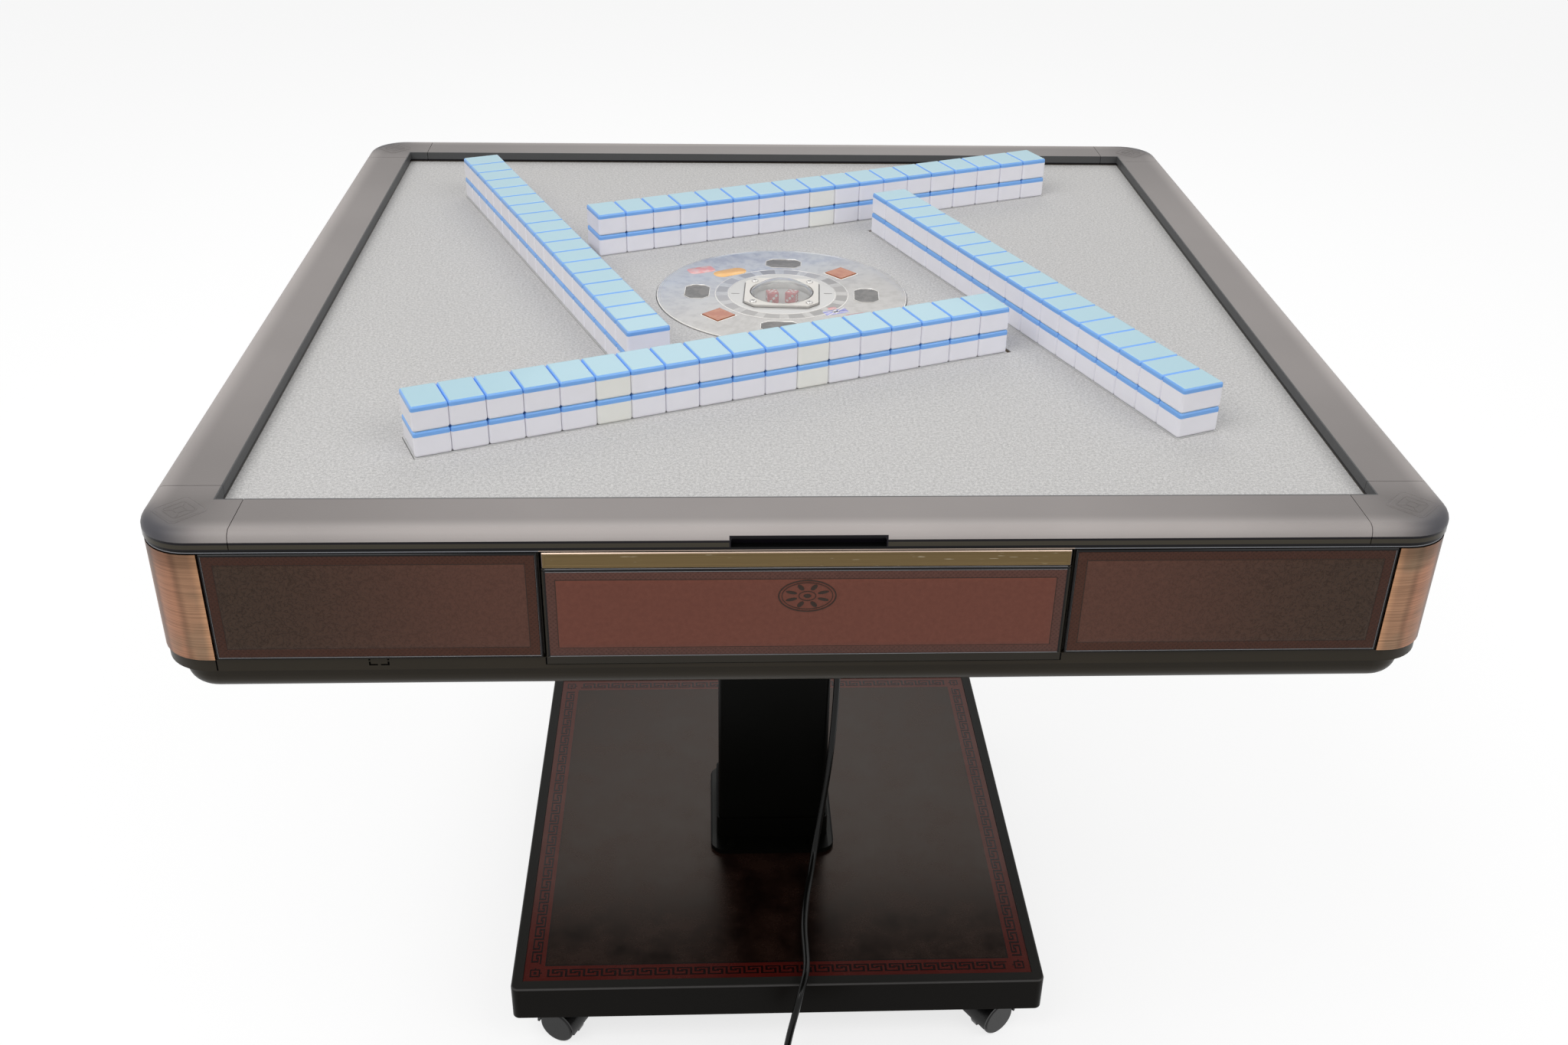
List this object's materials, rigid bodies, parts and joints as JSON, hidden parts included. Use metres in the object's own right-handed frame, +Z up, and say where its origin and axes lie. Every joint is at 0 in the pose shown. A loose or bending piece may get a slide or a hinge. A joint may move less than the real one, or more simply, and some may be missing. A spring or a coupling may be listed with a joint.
{
  "type": "automatic mahjong table",
  "caption": "Square automatic mahjong table with a padded-leather case, a drawer on each side, walls of tiles on lifts round a control disc, on a folding column with a caster base.",
  "frame": {"origin": "on the floor, under the middle of the playing field", "axes": "+Z up; -Y is the front, the side that the caster base stands back from; +X is the right-hand side"},
  "size_m": [0.96, 0.96, 0.8229],
  "materials": {
    "case_black": "satin black",
    "rim_grey": "fine grained soft-touch grey with a gloss black lip",
    "side_leather": "embossed dark brown leather with a tooled border",
    "corner_copper": "brushed copper-coloured",
    "board_wood": "raw fibreboard",
    "felt_grey": "speckled grey felt",
    "tile_plastic": "white body with a blue back",
    "machine_metal": "plain grey",
    "machine_plastic": "plain grey",
    "motor_metal": "plain dark grey",
    "steel": "plain",
    "disc_plastic": "patterned silver grey",
    "window_dark": "dark smoked",
    "dome_clear": "clear",
    "dice_red": "translucent red with white spots",
    "button_brown": "clear red-brown",
    "drawer_leather": "red-brown leather with a tooled border and a brass-coloured pull strip",
    "drawer_plastic": "plain black",
    "column_black": "satin black",
    "base_wood": "dark red-brown polished laminate with a Greek-key border",
    "caster_black": "plain black",
    "cord_black": "plain black"
  },
  "bodies": {
    "stand": {"base_frame": "column_black", "base_board": "base_wood", "column_boot": "column_black", "column": "column_black", "column_head": "column_black", "column_bolts": "steel", "cord_gland": "caster_black", "cord": "cord_black", "cord_coil": "cord_black", "cord_plug": "caster_black"},
    "table_top": {"fold_pin": "steel", "hinge_bracket": "column_black", "lower_case": "case_black", "side_panels": "side_leather", "corner_trims": "corner_copper", "rim_rails": "rim_grey", "rim_corners": "rim_grey", "table_board": "board_wood", "felt": "felt_grey", "drum_wall": "machine_plastic", "lift_guides": "machine_plastic", "drive_motors": "motor_metal", "disc_actuator": "machine_metal", "control_box": "machine_plastic", "drawer_runners": "machine_metal"},
    "drum": {"drum_plate": "machine_plastic"},
    "drive_wheel": {"drum_drive_wheel": "machine_plastic"},
    "control_disc": {"disc_post": "machine_plastic", "disc_plate": "disc_plastic", "display_windows": "window_dark", "dice_bezel": "steel", "dice_dome": "dome_clear"},
    "dice_shaker": {"dice_tray": "machine_plastic", "dice": "dice_red"},
    "near_button": {"button_near": "button_brown"},
    "far_button": {"button_far": "button_brown"},
    "lift_body_front": {"lift_front": "machine_plastic", "tiles_front": "tile_plastic"},
    "drawer_front": {"drawer_front_front": "drawer_leather", "drawer_box_front": "drawer_plastic"},
    "lift_body_right": {"lift_right": "machine_plastic", "tiles_right": "tile_plastic"},
    "drawer_right": {"drawer_front_right": "drawer_leather", "drawer_box_right": "drawer_plastic"},
    "lift_body_back": {"lift_back": "machine_plastic", "tiles_back": "tile_plastic"},
    "drawer_back": {"drawer_front_back": "drawer_leather", "drawer_box_back": "drawer_plastic"},
    "lift_body_left": {"lift_left": "machine_plastic", "tiles_left": "tile_plastic"},
    "drawer_left": {"drawer_front_left": "drawer_leather", "drawer_box_left": "drawer_plastic"},
    "caster_front_left": {"caster_fork_front_left": "caster_black"},
    "wheels_front_left": {"caster_wheels_front_left": "caster_black"},
    "caster_front_right": {"caster_fork_front_right": "caster_black"},
    "wheels_front_right": {"caster_wheels_front_right": "caster_black"},
    "caster_back_left": {"caster_fork_back_left": "caster_black"},
    "wheels_back_left": {"caster_wheels_back_left": "caster_black"},
    "caster_back_right": {"caster_fork_back_right": "caster_black"},
    "wheels_back_right": {"caster_wheels_back_right": "caster_black"}
  },
  "joints": [
    {"name": "fold", "type": "hinge", "parent": "stand", "child": "table_top", "pos_m": [0, 0.104, 0.6202], "axis": [-1, 0, 0], "range_deg": [0, 90]},
    {"name": "swivel_front_left", "type": "hinge", "parent": "stand", "child": "caster_front_left", "pos_m": [-0.247, -0.207, 0.05], "axis": [0, 0, 1], "continuous": true},
    {"name": "roll_front_left", "type": "hinge", "parent": "caster_front_left", "child": "wheels_front_left", "pos_m": [-0.23376, -0.21404, 0.02], "axis": [0.4695, 0.8829, 0], "continuous": true},
    {"name": "swivel_front_right", "type": "hinge", "parent": "stand", "child": "caster_front_right", "pos_m": [0.247, -0.207, 0.05], "axis": [0, 0, 1], "continuous": true},
    {"name": "roll_front_right", "type": "hinge", "parent": "caster_front_right", "child": "wheels_front_right", "pos_m": [0.23456, -0.21539, 0.02], "axis": [0.5592, -0.829, 0], "continuous": true},
    {"name": "swivel_back_left", "type": "hinge", "parent": "stand", "child": "caster_back_left", "pos_m": [-0.247, 0.287, 0.05], "axis": [0, 0, 1], "continuous": true},
    {"name": "roll_back_left", "type": "hinge", "parent": "caster_back_left", "child": "wheels_back_left", "pos_m": [-0.24312, 0.30149, 0.02], "axis": [-0.9659, 0.2588, 0], "continuous": true},
    {"name": "swivel_back_right", "type": "hinge", "parent": "stand", "child": "caster_back_right", "pos_m": [0.247, 0.287, 0.05], "axis": [0, 0, 1], "continuous": true},
    {"name": "roll_back_right", "type": "hinge", "parent": "caster_back_right", "child": "wheels_back_right", "pos_m": [0.23905, 0.29972, 0.02], "axis": [-0.848, -0.5299, 0], "continuous": true},
    {"name": "drum_spin", "type": "hinge", "parent": "table_top", "child": "drum", "pos_m": [0, 0, 0.6832], "axis": [0, 0, 1], "continuous": true},
    {"name": "drive_wheel_spin", "type": "hinge", "parent": "table_top", "child": "drive_wheel", "pos_m": [0, 0.1233, 0.6822], "axis": [0, 0, 1], "continuous": true},
    {"name": "lift_front", "type": "slide", "parent": "table_top", "child": "lift_body_front", "axis": [0, 0, 1], "range_m": [-0.053, 0]},
    {"name": "lift_right", "type": "slide", "parent": "table_top", "child": "lift_body_right", "axis": [0, 0, 1], "range_m": [-0.053, 0]},
    {"name": "lift_back", "type": "slide", "parent": "table_top", "child": "lift_body_back", "axis": [0, 0, 1], "range_m": [-0.053, 0]},
    {"name": "lift_left", "type": "slide", "parent": "table_top", "child": "lift_body_left", "axis": [0, 0, 1], "range_m": [-0.053, 0]},
    {"name": "disc_lift", "type": "slide", "parent": "table_top", "child": "control_disc", "axis": [0, 0, 1], "range_m": [0, 0.06]},
    {"name": "shaker_spin", "type": "hinge", "parent": "control_disc", "child": "dice_shaker", "pos_m": [0, 0, 0.766], "axis": [0, 0, 1], "continuous": true},
    {"name": "near_press", "type": "slide", "parent": "control_disc", "child": "near_button", "axis": [0, 0, -1], "range_m": [0, 0.0015], "stiffness_N_per_m": 400, "springref_m": -0.002},
    {"name": "far_press", "type": "slide", "parent": "control_disc", "child": "far_button", "axis": [0, 0, -1], "range_m": [0, 0.0015], "stiffness_N_per_m": 400, "springref_m": -0.002},
    {"name": "pull_front", "type": "slide", "parent": "table_top", "child": "drawer_front", "axis": [0, -1, 0], "range_m": [0, 0.08]},
    {"name": "pull_right", "type": "slide", "parent": "table_top", "child": "drawer_right", "axis": [1, 0, 0], "range_m": [0, 0.08]},
    {"name": "pull_back", "type": "slide", "parent": "table_top", "child": "drawer_back", "axis": [0, 1, 0], "range_m": [0, 0.08]},
    {"name": "pull_left", "type": "slide", "parent": "table_top", "child": "drawer_left", "axis": [-1, 0, 0], "range_m": [0, 0.08]}
  ],
  "couplings": [
    {"joint": "drive_wheel_spin", "follows": "drum_spin", "ratio": -5.8333}
  ]
}
